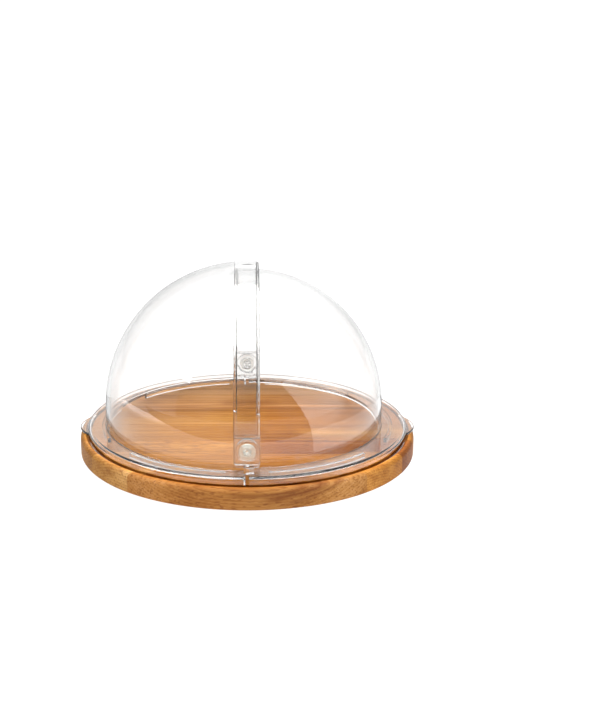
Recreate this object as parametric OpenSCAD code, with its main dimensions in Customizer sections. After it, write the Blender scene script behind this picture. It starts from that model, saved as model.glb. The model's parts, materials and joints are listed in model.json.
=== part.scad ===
// Roll-top cheese dome. A turned board of edge-glued staves carries a loose
// clear hood. The hood is two quarter-sphere shells, one nested in the other,
// joined by a snap pivot at the front and one at the back. The larger, left
// shell rolls over the smaller, right one.
// Origin: centre of the board's underside. +Z is up, the pivots lie along Y.

/* [Board] */
// diameter of the board
board_d = 300; // [240:1:400]
// thickness of the board
board_t = 19; // [14:0.5:30]
// rounding of the upper edge
top_edge_r = 4.6; // [1:0.1:6]
// rounding of the lower edge
bottom_edge_r = 2.5; // [0.5:0.1:6]
// flat land between that rounding and the groove
rim_flat = 0.2; // [0:0.1:6]
// depth of the groove that keeps the hood in place
groove_depth = 3; // [1.5:0.1:6]

/* [Hood] */
// wall of both shells, their flanges and skirts
wall = 2.5; // [1.5:0.1:4]
// height of the flange's upper face above the board
flange_h = 7.2; // [5:0.1:12]
// height of the pivots above the flange
pivot_rise = 16.8; // [15:0.1:30]
// width of the flange, from the larger shell to the outside of the skirt
flange_w = 16.2; // [12:0.1:30]
// gap between the two shells
shell_gap = 3.9; // [3:0.1:8]
// slot between the two flanges
slot_w = 3; // [1.5:0.1:6]
// inner rounding between flange and skirt
corner_in_r = 0.7; // [0.2:0.1:3]
// fillet between shell and flange
root_r = 0.8; // [0.4:0.1:3]

/* [Ring under the flange] */
// thickness of the ring that stands on the board
ring_w = 2.6; // [1.5:0.1:4]
// distance of the ring outside the larger shell
ring_off = 0.6; // [0.2:0.1:3]
// pieces of the ring under each half
ring_n = 3; // [1:1:3]
// arc of one piece
ring_deg = 42; // [10:1:46]
// angle from one piece to the next
ring_pitch = 61; // [50:1:64]

/* [Free edges] */
// rounding of each shell's free edge on the outside
edge_r = 1.5; // [0.5:0.1:2]
// thickness of the lip inside each shell's free edge
lip_t = 2.7; // [1.5:0.1:5]
// depth of the lip, from the shell inward
lip_depth = 3; // [1.5:0.1:3.1]
// rounding of the lip's two inner corners
lip_r = 0.8; // [0.2:0.1:1.2]
// height of the lips' ends above the pivots
lip_end_h = 29.5; // [20:0.5:60]

/* [Pivots] */
// radius of the pin
pin_r = 3.5; // [2:0.1:4.5]
// radius of the round boss about each pin
boss_r = 9.5; // [6:0.1:10]
// height of the outer boss
boss_h = 0.5; // [0.2:0.1:2]
// rounding of the bosses' outer corners
boss_edge_r = 0.4; // [0.1:0.05:0.5]
// how far the flat plate about the pivot stands proud of its shell
plate_h = 0.6; // [0.2:0.1:1.5]
// how far the right shell's plate stands proud on the inside, under the cap
pad_h = 1.2; // [0.8:0.1:2]
// width of that plate beside the boss, up to the shell's free edge
plate_side = 0.8; // [0.4:0.1:4]
// how much further the right shell laps the left one
lap_more = 0.8; // [0:0.1:2]
// height of that plate above the boss
plate_top = 1.8; // [0.5:0.1:6]
// rounding of the plate's lower corners
tongue_r = 3; // [1:0.1:6]
// radius of the pin's head and of its cap
head_r = 7.2; // [5:0.1:9]
// thickness of the head
head_t = 1.9; // [1:0.1:4]
// width of the raised rim about the dish in the head
head_rim = 2.5; // [1:0.1:4]
// depth of the dish
dish_depth = 0.8; // [0.3:0.1:1.2]
// thickness of the cap
cap_t = 1.8; // [1:0.1:4]
// height of the snap barb on the pin
barb_h = 0.4; // [0.2:0.05:0.8]

/* [Stops and grips] */
// how far the stops stand out from the larger shell
stop_reach = 8; // [3:0.1:12]
// width of the stop block on the right half, from the centre
stop_w = 5.5; // [3:0.1:12]
// thickness of the stop web on the left half
web_t = 1.4; // [1:0.1:3]
// how far each grip tab stands out from the skirt
tab_reach = 7.5; // [4:0.1:12]
// width of a grip tab where it leaves the skirt
tab_w = 50; // [30:1:80]
// thickness of a grip tab
tab_t = 2; // [1.2:0.1:3]

/* [Clearances] */
// skirt to the groove's outer side
skirt_play = 2; // [1:0.1:3]
// skirt to the groove's inner side
skirt_in_play = 1.1; // [0.5:0.1:3]
// skirt to the groove's floor
skirt_clear = 0.8; // [0.3:0.1:2]
// ring to board
rest_gap = 0.3; // [0.2:0.05:0.6]
// grip tab to board
tab_gap = 0.5; // [0.3:0.1:2]
// tongue to the other half's flange
tongue_gap = 2.8; // [2:0.1:4]
// stops to the boss above them
stop_gap = 2; // [0.5:0.1:3]
// left half's faces to those of the right half and its pins, along the pivot
face_gap = 0.3; // [0.2:0.05:0.6]
// pin in the left half, where it turns
turn_play = 0.05; // [0.02:0.01:0.1]
// pin in the right half and in its cap, where it is held
hold_play = 0.02; // [0.01:0.01:0.05]

/* [Hidden] */
$fn = 96;

// The board's glue joints from front to back, as shares of its radius: the
// staves differ in width, and together they always fill the board.
stave_joints = [-0.747, -0.457, -0.231, 0.053, 0.339, 0.627];
stave_n = len(stave_joints) + 1;

board_r = board_d / 2;
groove_or = board_r - top_edge_r - rim_flat;
skirt_or = groove_or - skirt_play;
skirt_ir = skirt_or - wall;
groove_ir = skirt_ir - skirt_in_play;
skirt_z = board_t - groove_depth + skirt_clear;
flange_z = board_t + flange_h;
pivot_z = flange_z + pivot_rise;
corner_r = wall + corner_in_r;
outer_r = skirt_or - flange_w;
inner_r = outer_r - wall - shell_gap;
ring_ir = outer_r + ring_off;

// About each pivot, from the pivot's axis: how far the left and the right shell
// reach past the centre, and where plate, tongue and stops end.
outer_lap = boss_r + plate_side;
inner_lap = outer_lap + lap_more;
plate_up = boss_r + plate_top;
tongue_drop = pivot_rise - tongue_gap;
stop_drop = boss_r + stop_gap;
dish_r = head_r - head_rim;

// Stations along the pivot, measured outward from the centre of the hood.
cap_seat = inner_r - wall - pad_h;
cap_floor = cap_seat - cap_t / 3;
pin_end = cap_seat - cap_t - face_gap;
relief = 0.4;
spacer_end = outer_r - wall - relief;
boss_in = spacer_end + face_gap;
boss_out = outer_r + plate_h + boss_h;
head_seat = boss_out + face_gap;

// Snap pin: four windows in its dish, and two crossing splits in its shank.
window_n = 4;
window_w = 2.2;
window_depth = 0.5;
core_r = dish_r / 3;
split_w = 0.9;
split_end = inner_r;

// Depth by which a piece of one moulding is rooted in its wall, and by which
// each shell runs into its pivots' plates.
root = 0.5;
seam = 0.25;
// Width of the piece of each shell that carries its rounded free edge.
rim_w = lip_t + 1;
// Longer than anything that a cut has to pass.
far = board_d;

wood = [0.72, 0.46, 0.24];
clear = [0.86, 0.90, 0.92, 0.45];
milky = [0.90, 0.90, 0.84, 0.80];

// ---------------------------------------------------------------- board

module board_profile() {
  difference() {
    union() {
      square([board_r - top_edge_r, board_t]);
      square([board_r - bottom_edge_r, board_t - top_edge_r]);
      translate([0, bottom_edge_r])
        square([board_r, board_t - top_edge_r - bottom_edge_r]);
      translate([board_r - top_edge_r, board_t - top_edge_r])
        circle(top_edge_r);
      translate([board_r - bottom_edge_r, bottom_edge_r])
        circle(bottom_edge_r);
    }
    translate([groove_ir, board_t - groove_depth])
      square([groove_or - groove_ir, groove_depth + root]);
  }
}

// Stave i of the board, counted from the front. The first and the last one
// run out to the rim.
module stave(i) {
  y0 = i == 1 ? -far : stave_joints[i - 2] * board_r;
  y1 = i == stave_n ? far : stave_joints[i - 1] * board_r;
  color(wood)
    intersection() {
      rotate_extrude()
        board_profile();
      translate([-far, y0, -root])
        cube([2 * far, y1 - y0, board_t + 2 * root]);
    }
}

// ---------------------------------------------------------------- hood

// Section of one shell with its flange and skirt; r is the shell's radius.
module shell_profile(r) {
  translate([0, pivot_z])
    intersection() {
      difference() {
        circle(r);
        circle(r - wall);
      }
      square(r + root);
    }
  translate([r - wall, flange_z - wall])
    square([wall, pivot_z - flange_z + wall]);
  translate([r, flange_z])
    difference() {
      square(root_r);
      translate([root_r, root_r])
        circle(root_r);
    }
  translate([r - wall, flange_z - wall])
    square([skirt_or - corner_r - r + wall, wall]);
  translate([skirt_or - corner_r, flange_z - corner_r])
    intersection() {
      difference() {
        circle(corner_r);
        circle(corner_r - wall);
      }
      square(corner_r + root);
    }
  translate([skirt_ir, skirt_z])
    square([wall, flange_z - corner_r - skirt_z]);
}

// What a left shell covers without its rim, seen from the front with the pivot
// at the origin. It reaches past the centre above, ends at the slot below, and
// leaves a window for the pivot's plate.
module shell_outline(lap) {
  difference() {
    union() {
      translate([-far, -far])
        square([far - slot_w / 2, 2 * far]);
      translate([-far, 0])
        square([far + lap - rim_w, far]);
    }
    plate_window(lap);
  }
}

// The plate's outline, smaller by the seam and open to the right.
module plate_window(lap) {
  translate([-lap + seam, -tongue_drop + tongue_r])
    square([far, tongue_drop + plate_up - tongue_r - seam]);
  translate([-lap + tongue_r, -tongue_drop + seam])
    square([far, tongue_drop + plate_up - 2 * seam]);
  translate([-lap + tongue_r, -tongue_drop + tongue_r])
    circle(tongue_r - seam);
}

// The plate about the pivot. Its lower end is the tongue that reaches over the
// slot between the flanges.
module plate_outline(lap) {
  translate([-lap, -tongue_drop + tongue_r])
    square([2 * lap, tongue_drop + plate_up - tongue_r]);
  translate([-lap + tongue_r, -tongue_drop])
    square([2 * (lap - tongue_r), tongue_drop + plate_up]);
  for (x = [-lap + tongue_r, lap - tongue_r])
    translate([x, -tongue_drop + tongue_r])
      circle(tongue_r);
}

// Turns its child's +Z outward at the front pivot.
module front_pivot() {
  translate([0, 0, pivot_z])
    rotate([90, 0, 0])
      children();
}

module back_pivot() {
  translate([0, 0, pivot_z])
    rotate([90, 0, 180])
      children();
}

module front_and_back() {
  children();
  mirror([0, 1, 0])
    children();
}

// Pieces of the ring that stands on the board under the flange.
module ring_pieces() {
  for (i = [0 : ring_n - 1])
    rotate(180 + (i - (ring_n - 1) / 2) * ring_pitch - ring_deg / 2)
      rotate_extrude(angle = ring_deg)
        translate([ring_ir, board_t + rest_gap])
          square([ring_w, flange_h - wall - rest_gap + root]);
}

// Round-edged tab on the left side of the skirt.
module grip_tab() {
  skirt_sag = skirt_or - sqrt(pow(skirt_or, 2) - pow(tab_w / 2, 2));
  sag = tab_reach + skirt_sag;
  tab_r = (pow(tab_w / 2, 2) + pow(sag, 2)) / (2 * sag);
  difference() {
    translate([-(skirt_or + tab_reach - tab_r), 0, board_t + tab_gap])
      rotate_extrude() {
        square([tab_r - tab_t / 2, tab_t]);
        translate([tab_r - tab_t / 2, tab_t / 2])
          circle(tab_t / 2);
      }
    cylinder(h = pivot_z, r = skirt_ir + root);
  }
}

// Round boss of height h with a rounded outer corner.
module boss(h) {
  rotate_extrude() {
    square([boss_r - boss_edge_r, h]);
    square([boss_r, h - boss_edge_r]);
    translate([boss_r - boss_edge_r, h - boss_edge_r])
      circle(boss_edge_r);
  }
}

// Plates of one half at both pivots, from the station `inside` to the station
// `outside`, each with its boss and its bore.
module pivot_plates(lap, inside, outside, boss_end, bore_r) {
  front_and_back()
    front_pivot()
      difference() {
        union() {
          translate([0, 0, inside])
            linear_extrude(outside - inside)
              plate_outline(lap);
          translate([0, 0, outside - root])
            boss(boss_end - outside + root);
        }
        translate([0, 0, inside - root])
          cylinder(h = boss_end - inside + 2 * root, r = bore_r);
      }
}

// Turns a section about the axis that crosses the hood from left to right.
module turned_about_x(bottom) {
  intersection() {
    translate([0, 0, pivot_z])
      rotate([0, 90, 0])
        rotate_extrude()
          children();
    translate([-far, -far, pivot_z + bottom])
      cube(2 * far);
  }
}

// Section of a left shell's rim. Its rounding runs tangent into the shell and
// into the plane of the free edge.
module rim_profile(r, lap) {
  centre_x = lap - edge_r;
  centre_r = sqrt(pow(r - edge_r, 2) - pow(centre_x, 2));
  difference() {
    intersection() {
      difference() {
        circle(r);
        circle(r - wall);
      }
      translate([0, lap - rim_w])
        square([r + root, rim_w]);
    }
    translate([centre_r, centre_x])
      intersection() {
        square(far);
        rotate(asin(centre_x / (r - edge_r)))
          square(far);
      }
  }
  translate([centre_r, centre_x])
    circle(edge_r);
}

// Section of the lip inside a left shell's free edge.
module lip_profile(r, lap) {
  translate([r - wall - lip_depth, lap - lip_t + lip_r])
    square([lip_depth + root, lip_t - 2 * lip_r]);
  translate([r - wall - lip_depth + lip_r, lap - lip_t])
    square([lip_depth - lip_r + root, lip_t]);
  for (x = [lap - lip_t + lip_r, lap - lip_r])
    translate([r - wall - lip_depth + lip_r, x])
      circle(lip_r);
}

// Shell, rim, lip, flange, skirt, ring and tab of the left half; those of the
// right half are the mirror image with its own radius and lap.
module half_moulding(r, lap) {
  intersection() {
    rotate_extrude()
      shell_profile(r);
    front_pivot()
      linear_extrude(2 * far, center = true)
        shell_outline(lap);
  }
  turned_about_x(plate_up - seam)
    rim_profile(r, lap);
  turned_about_x(lip_end_h)
    lip_profile(r, lap);
  ring_pieces();
  grip_tab();
}

// Web that closes the left flange at the slot and rises above it.
module stop_web() {
  front_and_back()
    translate([-slot_w / 2 - web_t, outer_r - root, 0]) {
      translate([0, 0, flange_z - root])
        cube([web_t, stop_reach + root, pivot_rise - stop_drop + root]);
      translate([0, 0, board_t + rest_gap])
        cube([web_t, skirt_ir - outer_r + 2 * root, flange_h - rest_gap - root]);
    }
}

// Block on the right flange that the web meets at the slot.
module stop_block() {
  block_in = outer_r + plate_h + face_gap;
  front_and_back()
    translate([-slot_w / 2 + face_gap, block_in, flange_z - root])
      cube([
        stop_w + slot_w / 2 - face_gap,
        outer_r + stop_reach - block_in,
        pivot_rise - stop_drop + root
      ]);
}

module outer_half() {
  color(clear) {
    half_moulding(outer_r, outer_lap);
    pivot_plates(outer_lap, boss_in, outer_r + plate_h, boss_out, pin_r + turn_play);
    stop_web();
  }
}

module inner_half() {
  color(clear) {
    mirror([1, 0, 0]) {
      half_moulding(inner_r, inner_lap);
      pivot_plates(inner_lap, cap_seat, inner_r + plate_h, spacer_end, pin_r + hold_play);
    }
    stop_block();
  }
}

// ---------------------------------------------------------------- pivots

// Snap pin along +Z, at its true distance from the centre of the hood.
module pivot_pin() {
  rim_r = head_t / 3;
  difference() {
    union() {
      translate([0, 0, head_seat])
        rotate_extrude() {
          square([head_r - rim_r, head_t]);
          square([head_r, head_t - rim_r]);
          translate([head_r - rim_r, head_t - rim_r])
            circle(rim_r);
        }
      translate([0, 0, pin_end])
        cylinder(h = head_seat - pin_end, r = pin_r);
      translate([0, 0, pin_end])
        cylinder(h = cap_floor - pin_end, r1 = pin_r - barb_h, r2 = pin_r + barb_h);
    }
    translate([0, 0, head_seat + head_t - dish_depth])
      cylinder(h = head_t, r = dish_r);
    translate([0, 0, head_seat + head_t - dish_depth - window_depth])
      for (i = [0 : window_n - 1])
        rotate(i * 360 / window_n)
          translate([core_r, -window_w / 2, 0])
            cube([dish_r - core_r - root, window_w, head_t]);
    for (turn = [45, 135])
      rotate(turn)
        translate([-pin_r - 2 * barb_h, -split_w / 2, pin_end - root])
          cube([2 * pin_r + 4 * barb_h, split_w, split_end - pin_end + root]);
  }
}

// Cap on the inside, snapped over the pin's barb.
module pivot_cap() {
  difference() {
    translate([0, 0, cap_seat - cap_t])
      cylinder(h = cap_t, r = head_r);
    translate([0, 0, pin_end])
      cylinder(h = cap_seat - pin_end + root, r = pin_r + hold_play);
    translate([0, 0, pin_end])
      cylinder(h = cap_floor - pin_end, r = pin_r + barb_h + hold_play);
  }
}

module pivot_pin_front() { color(milky) front_pivot() pivot_pin(); }
module pivot_pin_back() { color(milky) back_pivot() pivot_pin(); }
module pivot_cap_front() { color(milky) front_pivot() pivot_cap(); }
module pivot_cap_back() { color(milky) back_pivot() pivot_cap(); }

// ---------------------------------------------------------------- nodes

stave(1);  // stave_1
stave(2);  // stave_2
stave(3);  // stave_3
stave(4);  // stave_4
stave(5);  // stave_5
stave(6);  // stave_6
stave(7);  // stave_7
outer_half();
inner_half();
pivot_pin_front();
pivot_pin_back();
pivot_cap_front();
pivot_cap_back();
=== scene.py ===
"""Looks of the roll-top cheese dome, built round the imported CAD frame.

The frame's own solids carry all the looks: solid wood for the staves, clear
plastic for the two halves of the hood and its caps, milky plastic for its pins.
Lengths are in metres. -Y is the front, and the larger half is towards -X.
"""

import json
import math
from collections import namedtuple

import bpy
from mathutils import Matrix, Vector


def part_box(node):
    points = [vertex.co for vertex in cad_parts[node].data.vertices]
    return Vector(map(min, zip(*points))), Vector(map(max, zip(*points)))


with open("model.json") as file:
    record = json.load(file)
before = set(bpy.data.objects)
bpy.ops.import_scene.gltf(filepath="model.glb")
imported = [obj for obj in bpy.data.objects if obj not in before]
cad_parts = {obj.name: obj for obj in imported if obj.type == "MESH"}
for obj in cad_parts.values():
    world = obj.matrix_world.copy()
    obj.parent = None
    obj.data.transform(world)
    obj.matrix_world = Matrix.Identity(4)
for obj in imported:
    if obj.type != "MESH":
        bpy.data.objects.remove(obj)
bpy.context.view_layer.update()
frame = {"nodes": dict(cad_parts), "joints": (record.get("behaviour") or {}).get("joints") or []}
scene = bpy.context.scene

# ------------------------------------------------------------------ sizes
BOARD_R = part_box("stave_4")[1].x
BOARD_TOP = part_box("stave_4")[1].z
PIVOT_Z = next(joint["pos_m"][2] for joint in frame["joints"] if joint["name"] == "hood_roll")
OUTER_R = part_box("outer_half")[1].z - PIVOT_Z
INNER_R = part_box("inner_half")[1].z - PIVOT_Z

# The halves overlap in a band between their free edges.
BAND_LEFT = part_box("inner_half")[0].x
BAND_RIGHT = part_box("outer_half")[1].x

# Sizes that the boxes don't give, as in the part's source.
GROOVE = (0.1396, 0.1452)  # inner and outer radius of the board's groove
RING = (0.1276, 0.1302)  # inner and outer radius of the ring under the flange
WALL = 0.0025  # wall of both shells
LIP_T = 0.0027  # thickness of the lip inside each free edge
LIP_DEPTH = 0.0030  # depth of the lip, from the shell inward
LIP_ROUND = 0.0008  # rounding of the lip's inner corners
LIP_END = 0.0295  # height of the lips' ends above the pivots
SHELL_FOOT = 0.0280  # height at which the shells are clear of their flanges

# How far a test of place reaches past the faces that it is meant for.
HAIR = 0.0001
MARGIN = 0.0004

BLACK = (0.0, 0.0, 0.0)
WHITE = (1.0, 1.0, 1.0)

# ------------------------------------------------------------------ camera
# A pinhole camera fitted to the photograph. The focal length and the column on
# the camera's axis are in pixels of a picture of this size.
WIDTH, HEIGHT = 600, 720
FOCAL_PX = 1401.6
AXIS_COLUMN = 247.23
TILT = math.radians(16.8)
EYE = (0.0, -1.1981, 0.4442)
SENSOR = 36.0

cam_data = bpy.data.cameras.new("camera")
cam_data.sensor_fit = "AUTO"
cam_data.sensor_width = SENSOR
cam_data.lens = FOCAL_PX / max(WIDTH, HEIGHT) * SENSOR
cam_data.shift_x = (WIDTH / 2 - AXIS_COLUMN) / max(WIDTH, HEIGHT)
cam_data.clip_start = 0.05
cam_data.clip_end = 150.0
camera = bpy.data.objects.new("camera", cam_data)
scene.collection.objects.link(camera)
camera.location = EYE
camera.rotation_euler = (math.pi / 2 - TILT, 0.0, 0.0)
scene.camera = camera


# ------------------------------------------------------------------ node helpers
class Nodes:
    """A node tree, with short names for the nodes that this scene uses. A value
    is a socket, a number or a colour."""

    def __init__(self, tree):
        self.tree = tree

    def node(self, kind, **props):
        n = self.tree.nodes.new(kind)
        for name, value in props.items():
            setattr(n, name, value)
        return n

    def link(self, a, b):
        self.tree.links.new(a, b)

    def feed(self, socket, value):
        if isinstance(value, bpy.types.NodeSocket):
            self.link(value, socket)
        elif socket.type == "RGBA":
            socket.default_value = (*value, 1.0)
        else:
            socket.default_value = value

    def coords(self, kind="Object"):
        return self.node("ShaderNodeTexCoord").outputs[kind]

    def split(self, vector):
        n = self.node("ShaderNodeSeparateXYZ")
        self.feed(n.inputs[0], vector)
        return n.outputs

    def math(self, operation, *values, clamp=False):
        n = self.node("ShaderNodeMath", operation=operation, use_clamp=clamp)
        for socket, value in zip(n.inputs, values):
            self.feed(socket, value)
        return n.outputs[0]

    def plus(self, first, *others):
        for other in others:
            first = self.math("ADD", first, other)
        return first

    def times(self, first, *others):
        for other in others:
            first = self.math("MULTIPLY", first, other)
        return first

    def minus(self, a, b):
        return self.math("SUBTRACT", a, b)

    def length(self, a, b):
        return self.math("SQRT", self.plus(self.times(a, a), self.times(b, b)))

    def above(self, value, limit):
        return self.math("GREATER_THAN", value, limit)

    def below(self, value, limit):
        return self.math("LESS_THAN", value, limit)

    def within(self, value, low, high):
        return self.times(self.above(value, low), self.below(value, high))

    def step(self, value, low, high, a=0.0, b=1.0):
        """Runs smoothly from a to b while the value goes from low to high."""
        n = self.node("ShaderNodeMapRange", interpolation_type="SMOOTHSTEP")
        self.feed(n.inputs["Value"], value)
        for name, end in (("From Min", low), ("From Max", high), ("To Min", a), ("To Max", b)):
            n.inputs[name].default_value = end
        return n.outputs[0]

    def ramp(self, value, stops):
        n = self.node("ShaderNodeValToRGB")
        elements = n.color_ramp.elements
        while len(elements) < len(stops):
            elements.new(0.5)
        for element, (place, colour) in zip(elements, stops):
            element.position = place
            element.color = (*colour, 1.0)
        self.feed(n.inputs[0], value)
        return n.outputs[0]

    def grey_ramp(self, value, stops):
        return self.ramp(value, [(place, (grey, grey, grey)) for place, grey in stops])

    def mix(self, share, a, b, blend="MIX"):
        n = self.node("ShaderNodeMix", data_type="RGBA", blend_type=blend)
        self.feed(n.inputs[0], share)
        self.feed(n.inputs[6], a)
        self.feed(n.inputs[7], b)
        return n.outputs[2]

    def tint(self, share, base, tone):
        return self.mix(share, base, tone, "MULTIPLY")


class Material(Nodes):
    """A node material with a Principled shader."""

    def __init__(self, name, **values):
        self.material = bpy.data.materials.new(name)
        self.material.use_nodes = True
        super().__init__(self.material.node_tree)
        self.tree.nodes.clear()
        self.surface = self.node("ShaderNodeOutputMaterial").inputs["Surface"]
        self.bsdf = self.node("ShaderNodeBsdfPrincipled")
        self.link(self.bsdf.outputs[0], self.surface)
        for socket, value in values.items():
            self.set(socket, value)

    def set(self, socket, value):
        self.feed(self.bsdf.inputs[socket.replace("_", " ")], value)

    def mapping(self, vector, scale=(1, 1, 1), location=(0, 0, 0)):
        n = self.node("ShaderNodeMapping")
        self.feed(n.inputs["Vector"], vector)
        n.inputs["Scale"].default_value = scale
        n.inputs["Location"].default_value = location
        return n.outputs[0]

    def noise(self, vector, detail, rough):
        n = self.node("ShaderNodeTexNoise")
        self.feed(n.inputs["Vector"], vector)
        n.inputs["Scale"].default_value = 1.0
        n.inputs["Detail"].default_value = detail
        n.inputs["Roughness"].default_value = rough
        return n.outputs["Fac"]

    def bump(self, height, strength, distance):
        n = self.node("ShaderNodeBump")
        n.inputs["Strength"].default_value = strength
        n.inputs["Distance"].default_value = distance
        self.feed(n.inputs["Height"], height)
        self.set("Normal", n.outputs[0])

    def round_edges(self, radius):
        """Rounds sharp edges in the shading alone."""
        n = self.node("ShaderNodeBevel", samples=4)
        n.inputs["Radius"].default_value = radius
        self.set("Normal", n.outputs[0])

    def matt(self, colour):
        n = self.node("ShaderNodeBsdfDiffuse")
        self.feed(n.inputs["Color"], colour)
        return n.outputs[0]

    def blend(self, share, shader, other):
        n = self.node("ShaderNodeMixShader")
        for socket, value in zip(n.inputs, (share, shader, other)):
            self.feed(socket, value)
        return n.outputs[0]


# ------------------------------------------------------------------ wood
# From dark late wood to pale early wood.
GRAIN_COLOURS = (
    (0.22, (0.300, 0.100, 0.020)),
    (0.40, (0.490, 0.195, 0.042)),
    (0.56, (0.625, 0.278, 0.068)),
    (0.78, (0.740, 0.370, 0.115)),
)
DARK_STREAK = (0.230, 0.062, 0.016)
PALE_STREAK = (0.900, 0.520, 0.220)
FLECK = (0.240, 0.075, 0.022)

# Tones that the wood is multiplied by: painted light and shade on the rim, the darker end grain, and painted
# shade in the groove.
# Painted light: the rim's front is paler and bluer. Painted shade: its back is darker.
RIM_FRONT_PAINTED_LIGHT = (0.95, 1.17, 1.90)
RIM_BACK_PAINTED_SHADE = (0.85, 0.88, 0.85)
END_GRAIN = (0.53, 0.43, 0.23)
# Painted shade in the groove between the hood's skirt and the rim.
GROOVE_SHADE = (0.55, 0.45, 0.35)

# Where the rim's tone starts and is full, inside the board's edge.
RIM_SPAN = (0.0045, 0.0010)
# Where the rim turns from its front tone of painted light to its back one of painted shade, along y.
BACK_SPAN = (0.0, 0.08)
# Where its end grain starts and is full, to either side.
END_SPAN = (0.075, 0.140)
# Where a stave's left tone gives way to its right one.
TONE_SPAN = (-0.03, 0.03)

RINGS_PER_METRE = 400.0
# How far a streak moves sideways for each metre of depth: it lies on a layer
# that slants through the stave.
STREAK_SLANT = 1.5

# A stave's tones at the left and the right, the (y, z) of the pith that its
# rings go round, how strong its flecks are, and its streaks.
Stave = namedtuple("Stave", "left right pith flecks streaks")
# A streak's y and half width, its strength (pale where negative), and the
# middle and half length of its run along x.
Streak = namedtuple("Streak", "y half strength x reach")

# The tones are partly the staves' own colour and partly painted light. Tones above one, and blues raised
# well above their reds, brighten and pale the wood where the hood keeps light from it and where the hood's
# pale reflections lie over it.
STAVES = {
    "stave_1": Stave((0.79, 0.63, 0.44), (0.78, 0.67, 0.51), (-0.185, 0.075), 0.55, (
        Streak(-0.1345, 0.0070, 0.80, 0.045, 0.035),
        Streak(-0.1255, 0.0040, 0.60, 0.070, 0.050),
        Streak(-0.1400, 0.0030, 0.60, 0.020, 0.040),
    )),
    "stave_2": Stave((1.17, 1.20, 1.10), (1.07, 0.95, 0.60), (-0.110, -0.045), 0.55, (
        Streak(-0.0710, 0.0040, 0.20, 0.050, 0.110),
        Streak(-0.1000, 0.0060, 0.20, -0.050, 0.060),
    )),
    "stave_3": Stave((0.99, 0.99, 0.95), (0.59, 0.41, 0.27), (-0.020, 0.085), 0.80, (
        Streak(-0.0415, 0.0050, -0.50, 0.050, 0.080),
        Streak(-0.0360, 0.0018, 0.75, 0.040, 0.050),
        Streak(-0.0360, 0.0015, 0.30, -0.050, 0.050),
    )),
    "stave_4": Stave((0.80, 0.76, 0.56), (0.72, 0.60, 0.33), (0.010, -0.070), 0.20, (
        Streak(-0.0290, 0.0045, 0.60, 0.030, 0.050),
        Streak(-0.0140, 0.0120, -0.80, 0.100, 0.060),
        Streak(0.0060, 0.0060, 0.35, 0.030, 0.040),
        Streak(-0.0120, 0.0090, 0.30, 0.000, 0.020),
    )),
    "stave_5": Stave((0.87, 0.89, 0.81), (0.69, 0.56, 0.32), (0.075, 0.090), 0.20, (
        Streak(0.0475, 0.0055, 0.75, -0.060, 0.060),
        Streak(0.0310, 0.0040, 0.30, 0.030, 0.050),
        Streak(0.0480, 0.0040, 0.35, 0.030, 0.060),
        Streak(0.0210, 0.0040, -0.30, 0.030, 0.040),
        Streak(0.0400, 0.0030, -0.30, 0.030, 0.040),
    )),
    "stave_6": Stave((0.92, 0.99, 1.35), (0.80, 0.72, 0.62), (0.040, -0.050), 0.20, (
        Streak(0.0520, 0.0030, 0.40, 0.050, 0.080),
        Streak(0.0605, 0.0030, -0.70, 0.070, 0.060),
        Streak(0.0655, 0.0030, 0.40, 0.050, 0.060),
        Streak(0.0900, 0.0080, 0.35, -0.090, 0.030),
        Streak(0.0880, 0.0100, -0.40, 0.090, 0.050),
        Streak(0.0700, 0.0120, 0.35, 0.000, 0.030),
    )),
    "stave_7": Stave((0.94, 1.07, 1.70), (0.91, 0.98, 1.38), (0.170, 0.080), 0.20, ()),
}


def fibres(m, point, along, across, detail, rough=0.5):
    """Noise drawn out along the grain, with its scale per metre both ways."""
    return m.noise(m.mapping(point, scale=(along, across, across)), detail, rough)


def grain(m, point, y, z, pith, wobble, fibre):
    """The wood's colour, from growth rings about the pith and from clouds,
    bands, lines and fibres of growing fineness."""
    wander = fibres(m, point, 2.5, 7.0, 2.0)
    radius = m.length(m.minus(y, pith[0]), m.minus(z, pith[1]))
    radius = m.plus(radius, m.times(wander, 0.018), m.times(wobble, 0.0022))
    ring = m.math("POWER", m.math("FRACT", m.times(radius, RINGS_PER_METRE)), 2.2)
    clouds = fibres(m, point, 3.5, 24.0, 2.0)
    bands = fibres(m, point, 2.0, 70.0, 2.0, 0.55)
    lines = fibres(m, point, 5.0, 260.0, 3.0, 0.6)
    pale = m.plus(
        m.times(bands, 0.50),
        m.times(clouds, 0.45),
        m.times(m.minus(0.5, ring), 0.15),
        m.times(m.minus(lines, 0.5), 0.38),
        m.times(m.minus(fibre, 0.5), 0.30),
    )
    return m.ramp(pale, GRAIN_COLOURS)


def streaked(m, base, streak, place, wobble):
    """The base colour with one streak drawn over it, with a wavering edge."""
    x, y, z = place
    depth = m.minus(z, BOARD_TOP)
    off = m.math("MULTIPLY_ADD", depth, -STREAK_SLANT, m.minus(y, streak.y))
    off = m.plus(off, m.times(m.minus(wobble, 0.5), streak.half * 1.6))
    across = m.math("SUBTRACT", 1.0, m.math("ABSOLUTE", m.math("DIVIDE", off, streak.half)), clamp=True)
    along = m.math("ABSOLUTE", m.math("DIVIDE", m.minus(x, streak.x), streak.reach))
    along = m.math("SUBTRACT", 1.0, along, clamp=True)
    along = m.math("MULTIPLY", along, 2.5, clamp=True)
    share = m.math("MULTIPLY", m.times(across, along), abs(streak.strength), clamp=True)
    return m.mix(share, base, DARK_STREAK if streak.strength > 0 else PALE_STREAK)


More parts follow.
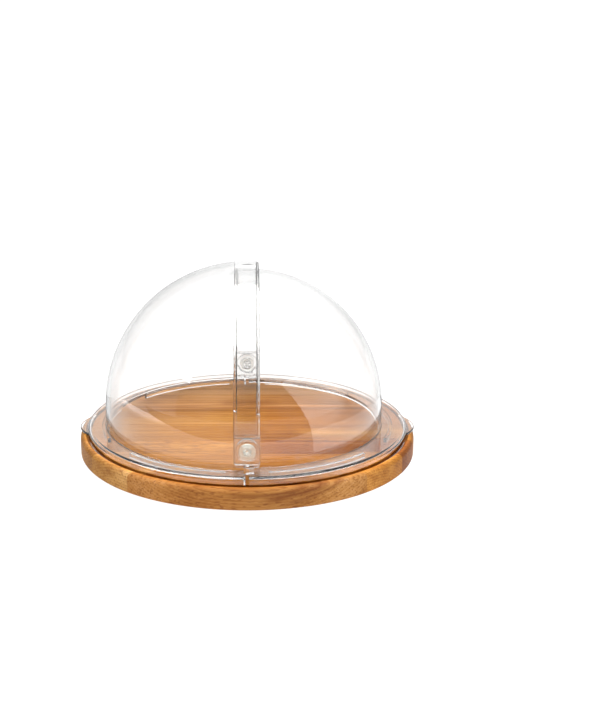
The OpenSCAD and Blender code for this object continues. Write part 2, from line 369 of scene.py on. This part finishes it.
def turned_faces(m, base, place):
    """The base colour with the rim's painted light and shade, the darker end grain
    at its two sides, and the painted shade in the groove."""
    x, y, z = place
    radius = m.length(x, y)
    rim = m.step(radius, BOARD_R - RIM_SPAN[0], BOARD_R - RIM_SPAN[1])
    # Painted light and shade on the rim, from front to back.
    base = m.tint(rim, base, m.mix(m.step(y, *BACK_SPAN), RIM_FRONT_PAINTED_LIGHT, RIM_BACK_PAINTED_SHADE))
    ends = m.step(m.math("ABSOLUTE", x), *END_SPAN)
    base = m.tint(m.times(rim, ends), base, END_GRAIN)
    # Painted shade: the groove's wood, below the board's top, is darkened.
    groove = m.within(radius, GROOVE[0] - MARGIN, GROOVE[1] + MARGIN)
    return m.tint(m.times(groove, m.below(z, BOARD_TOP - MARGIN)), base, GROOVE_SHADE)


def wood(name, seed, look):
    """One stave of solid texture: it has long grain on top and at the front,
    and end grain at the ends."""
    m = Material(name, Specular_IOR_Level=0.04)
    here = m.coords()
    place = m.split(here)
    x, y, z = place
    point = m.mapping(here, location=(seed * 1.7, seed * 0.31, 0))
    wobble = fibres(m, point, 7.0, 60.0, 3.0, 0.55)
    fibre = fibres(m, point, 30.0, 1100.0, 2.0, 0.6)
    dots = m.grey_ramp(fibres(m, point, 120.0, 800.0, 1.0), ((0.575, 0.0), (0.655, 1.0)))
    base = grain(m, point, y, z, look.pith, wobble, fibre)
    for streak in look.streaks:
        base = streaked(m, base, streak, place, wobble)
    base = m.mix(m.times(dots, look.flecks), base, FLECK)
    # The stave's own tone, partly painted light.
    base = m.tint(1.0, base, m.mix(m.step(x, *TONE_SPAN), look.left, look.right))
    m.set("Base_Color", turned_faces(m, base, place))
    m.set("Roughness", m.grey_ramp(fibre, ((0.3, 0.56), (0.7, 0.44))))
    m.bump(m.minus(fibre, m.times(dots, 0.5)), 0.2, 0.0003)
    return m.material


# ------------------------------------------------------------------ plastic
# Share of painted shade, a near-black matt mixed into a shell, by how far its face turns from the eye.
OUTLINE_SHADE = ((0.53, 0.0), (0.57, 0.03), (0.60, 0.066), (0.66, 0.118), (0.74, 0.12),
                (0.78, 0.13), (0.845, 0.29), (1.0, 0.44))
# Where the left shell's painted shade gives way to the right one's, along x. The right
# crown is lower, so heights count for more there.
RIGHT_SPAN = (-0.02, 0.03)
RIGHT_RAISE = 0.032
# Heights between which the painted shade falls towards the crown.
CROWN = (0.150, 0.178)
# Heights between which the painted dark lines along the free edges grow, and then fade.
LINES_GROW = (0.080, 0.100)
LINES_FADE = (0.125, 0.155)
EDGE_LINE = 0.0003  # width of the line along a free edge


def outline_painted_shade(m, x, z, in_band):
    """Painted shade near the outline, less at the crown, in the band and on the
    right shell, whose painted grey line is thinner."""
    facing = m.node("ShaderNodeLayerWeight").outputs["Facing"]
    right = m.step(x, *RIGHT_SPAN)
    height = m.math("MULTIPLY_ADD", right, RIGHT_RAISE, z)
    thinner = m.minus(m.step(facing, 0.70, 0.78, 0.62, 0.95), 1.0)
    return m.times(
        m.grey_ramp(facing, OUTLINE_SHADE),
        m.step(z, SHELL_FOOT, SHELL_FOOT + 0.008),
        m.step(height, *CROWN, 1.0, 0.25),
        m.math("MULTIPLY_ADD", right, thinner, 1.0),
        m.math("MULTIPLY_ADD", in_band, -0.96, 1.0),
    )


def edge_painted_shade(m, x, y, z, in_band):
    """Painted shade in the lips' side faces and inner corners, and a thin painted
    dark line along each free edge."""
    above_pivot = m.minus(z, PIVOT_Z)
    radius = m.length(y, above_pivot)
    lips = m.plus(*(m.within(radius, r - WALL - LIP_DEPTH - HAIR, r - WALL - HAIR)
                    for r in (INNER_R, OUTER_R)))
    lips = m.times(lips, in_band, m.above(above_pivot, LIP_END - MARGIN))
    side = m.math("ABSOLUTE", m.split(m.node("ShaderNodeNewGeometry").outputs["True Normal"])[0])
    corners = m.plus(m.within(x, BAND_LEFT + LIP_T - LIP_ROUND, BAND_LEFT + LIP_T),
                     m.within(x, BAND_RIGHT - LIP_T, BAND_RIGHT - LIP_T + LIP_ROUND))
    edges = m.plus(m.within(x, BAND_RIGHT - EDGE_LINE, BAND_RIGHT + HAIR),
                   m.within(x, BAND_LEFT - HAIR, BAND_LEFT + EDGE_LINE))
    fade = m.step(z, *LINES_FADE, 1.0, 0.12)
    return m.plus(
        m.times(lips, m.above(side, 0.8), m.step(z, *LINES_GROW, 0.40, 0.75), fade),
        m.times(lips, corners, m.step(z, *LINES_GROW, 0.15, 0.45), fade),
        m.times(edges, m.above(z, SHELL_FOOT), m.step(z, *LINES_GROW, 0.15, 0.30)),
    )


def clear_plastic(name):
    """Clear moulded plastic, with painted shade near the outline, along the free
    edges and over the band, and a painted highlight on its front ring pieces' feet."""
    m = Material(name, Base_Color=(0.994, 0.994, 0.992), Transmission_Weight=1.0, IOR=1.49, Roughness=0.0)
    m.round_edges(0.0004)
    x, y, z = m.split(m.coords())
    in_band = m.within(x, BAND_LEFT - HAIR, BAND_RIGHT + HAIR)
    # Painted shade over the lower front of the band where the halves overlap.
    front_band_shade = m.times(in_band, m.below(y, 0.05), m.step(z, 0.09, 0.14, 0.03, 0.0))
    painted_shade = m.plus(outline_painted_shade(m, x, z, in_band), edge_painted_shade(m, x, y, z, in_band))
    painted_shade = m.math("ADD", painted_shade, front_band_shade, clamp=True)
    # Painted shade: that share of a near-black matt is mixed into the plastic.
    shader = m.blend(painted_shade, m.bsdf.outputs[0], m.matt((0.03, 0.03, 0.03)))
    # Painted highlight: white matt on the feet of the front ring pieces, where their edges catch the light.
    foot_highlight = m.times(m.within(m.length(x, y), RING[0] - HAIR, RING[1] + HAIR),
                   m.below(z, BOARD_TOP + 0.001), m.below(y, -0.08), 0.85)
    m.link(m.blend(foot_highlight, shader, m.matt(WHITE)), m.surface)
    return m.material


def pin_plastic(name, colour, transmission, rough, ior):
    m = Material(name, Base_Color=colour, Transmission_Weight=transmission, IOR=ior, Roughness=rough)
    m.round_edges(0.0003)
    return m.material


def dress(node, material):
    slots = frame["nodes"][node].material_slots
    if not slots:
        frame["nodes"][node].data.materials.append(material)
    for slot in slots:
        slot.material = material


for seed, (node, look) in enumerate(STAVES.items(), 1):
    dress(node, wood("wood_" + node, seed, look))

shell = clear_plastic("clear_shell")
dress("outer_half", shell)
dress("inner_half", shell)

pins = {
    "front": pin_plastic("milky_pin", (0.98, 0.95, 0.86), 0.78, 0.06, 1.33),
    "back": pin_plastic("milky_pin_back", (1.0, 0.98, 0.95), 0.90, 0.06, 1.33),
}
cap = pin_plastic("clear_cap", (0.99, 0.99, 0.97), 1.0, 0.02, 1.35)
CAP_INSET = 0.00003
for end, pin in pins.items():
    dress("pivot_pin_" + end, pin)
    dress("pivot_cap_" + end, cap)
    # Each cap touches its plate, and light is lost between two clear faces in one place.
    inset = frame["nodes"]["pivot_cap_" + end].modifiers.new("inset", "DISPLACE")
    inset.strength = -CAP_INSET
    inset.mid_level = 0.0


# ------------------------------------------------------------------ stage
# A glow that falls from its strength to that share of it between two places,
# counted towards the back.
Fade = namedtuple("Fade", "strength start end share")
LEFT_FADE = Fade(1.6, -0.12, 0.06, 0.35)
RIGHT_FADE = Fade(3.3, -0.32, 0.0, 0.35)
SIDE_FADE = Fade(2.8, -0.35, 0.05, 0.35)

FLOOR_HALF = 45.0
FLOOR_LIGHT = 0.93
FLOOR_GREY = (0.20, 0.20, 0.20)
SOFT_HALF = 1.3
SOFT_BACK = 0.2
SOFT_HEIGHT = 2.2
SOFT_LIGHT = 5.0
DARK_HALF = 4.0
DARK_EDGE = -0.2
DARK_LIGHT = 0.05
STRIP_ELEVATIONS = (27, 42)
STRIP_AZIMUTHS = (50, 92)
STRIP_DISTANCE = 1.6
STRIP_LIGHT = 14.0

# Corners of the paper round the board, placed so that the edges of its
# reflections in the hood lie where the photograph has them: the stretch that
# the left shell mirrors, the one that the right shell mirrors, and the part
# that both do.
PAPER = [(-0.85, -0.20), (-0.514, -0.298), (-0.335, -0.323), (-0.186, -0.319), (-0.094, -0.314),
         (0.0, -0.308), (0.06, -0.280), (0.205, -0.281), (0.276, -0.271), (0.376, -0.200),
         (0.385, -0.061), (0.356, 0.060), (0.20, 0.150), (-0.62, 0.150), (-0.78, 0.030)]
PAPER_RIGHT = [(0.276, -0.271), (0.497, -0.456), (1.566, -1.338), (2.4, -0.6), (2.0, 0.6),
               (0.20, 0.15), (0.356, 0.060), (0.385, -0.061), (0.376, -0.200)]
PAPER_BOTH = [(0.109, -0.141), (0.169, -0.184), (0.276, -0.271), (0.376, -0.200),
              (0.385, -0.061), (0.356, 0.060), (0.20, 0.15), (0.13, 0.08)]


def glow(m, fades):
    """The sum of the fades, brighter far out to the left and dimmer higher up."""
    x, y, z = m.split(m.coords())
    back = m.math("MULTIPLY_ADD", m.math("MINIMUM", x, 0.0), 0.5, y)
    steps = [m.step(back, f.start, f.end, f.strength, f.strength * f.share) for f in fades]
    return m.times(m.plus(*steps), m.step(x, -0.58, -0.40, 2.9, 1.0), m.step(z, 0.1, 0.4, 1.0, 0.72))


def card(name, corners, emission=0.0, colour=BLACK, fades=()):
    """A flat stage panel that gives off an even light, or the glow of its fades."""
    mesh = bpy.data.meshes.new(name)
    mesh.from_pydata(corners, [], [tuple(range(len(corners)))])
    panel = bpy.data.objects.new(name, mesh)
    scene.collection.objects.link(panel)
    m = Material(name, Base_Color=colour, Roughness=1.0, Specular_IOR_Level=0.0,
                 Emission_Color=WHITE, Emission_Strength=emission)
    if fades:
        m.set("Emission_Strength", glow(m, fades))
    mesh.materials.append(m.material)
    return panel


def seen_in_reflections_only(*cards):
    for panel in cards:
        for ray in ("camera", "diffuse", "transmission", "volume_scatter", "shadow"):
            setattr(panel, "visible_" + ray, False)


def at_height(outline, z):
    return [(x, y, z) for x, y in outline]


def patch(azimuths, elevations, distance):
    """Corners of a panel on a sphere about the board; azimuth 0 is the front."""
    corners = []
    for i, j in ((0, 0), (1, 0), (1, 1), (0, 1)):
        azimuth = math.radians(azimuths[i])
        elevation = math.radians(elevations[j])
        out = distance * math.cos(elevation)
        corners.append((out * math.sin(azimuth), -out * math.cos(azimuth), distance * math.sin(elevation)))
    return corners


card("floor", [(x * FLOOR_HALF, y * FLOOR_HALF, 0) for x, y in ((-1, -1), (1, -1), (1, 1), (-1, 1))],
     FLOOR_LIGHT, FLOOR_GREY)
card("soft_top", [(x * SOFT_HALF, y * SOFT_HALF + SOFT_BACK, SOFT_HEIGHT)
                  for x, y in ((-1, -1), (-1, 1), (1, 1), (1, -1))], SOFT_LIGHT)
card("soft_right", [(0.491, -0.836, 0.597), (0.825, -0.740, 0.032), (1.35, 0.25, 0.032), (1.10, 0.15, 0.75)],
     fades=(SIDE_FADE,))

# What only the hood mirrors: the dark beyond the paper's front edge, the paper,
# and a strip light on either side. The level ones lie just above the floor.
seen_in_reflections_only(
    card("dark_floor", at_height([(-DARK_HALF, -DARK_HALF), (DARK_HALF, -DARK_HALF),
                                  (DARK_HALF, DARK_EDGE), (-DARK_HALF, DARK_EDGE)], 0.001), DARK_LIGHT),
    card("dark_front", [(-DARK_HALF, -2.6, 0), (DARK_HALF, -2.6, 0),
                        (DARK_HALF, -2.4, 2.1), (-DARK_HALF, -2.4, 2.1)], DARK_LIGHT),
    card("paper", at_height(PAPER, 0.002), fades=(LEFT_FADE,)),
    card("paper_right", at_height(PAPER_RIGHT, 0.002), fades=(RIGHT_FADE,)),
    card("paper_both", at_height(PAPER_BOTH, 0.003), fades=(LEFT_FADE, RIGHT_FADE)),
    card("strip_left", patch([-a for a in reversed(STRIP_AZIMUTHS)], STRIP_ELEVATIONS, STRIP_DISTANCE),
         STRIP_LIGHT),
    card("strip_right", patch(STRIP_AZIMUTHS, STRIP_ELEVATIONS, STRIP_DISTANCE), STRIP_LIGHT))

# A white sky that is darker in front of the board, a little brighter behind it,
# and white all round at the horizon.
scene.world = bpy.data.worlds.new("studio")
scene.world.use_nodes = True
sky = Nodes(scene.world.node_tree)
background = sky.tree.nodes["Background"]
background.inputs["Color"].default_value = (*WHITE, 1.0)
north, up = sky.split(sky.coords("Generated"))[1:]
strength = sky.times(
    sky.step(north, -0.7, 0.0, 0.60, 1.0),
    sky.step(north, -0.97, -0.80, 0.10, 1.0),
    sky.step(north, 0.80, 0.93, 1.0, 1.10),
)
strength = sky.math("MAXIMUM", strength, sky.step(up, 0.02, 0.07, 1.0, 0.0))
sky.link(strength, background.inputs["Strength"])

scene.view_settings.view_transform = "Standard"
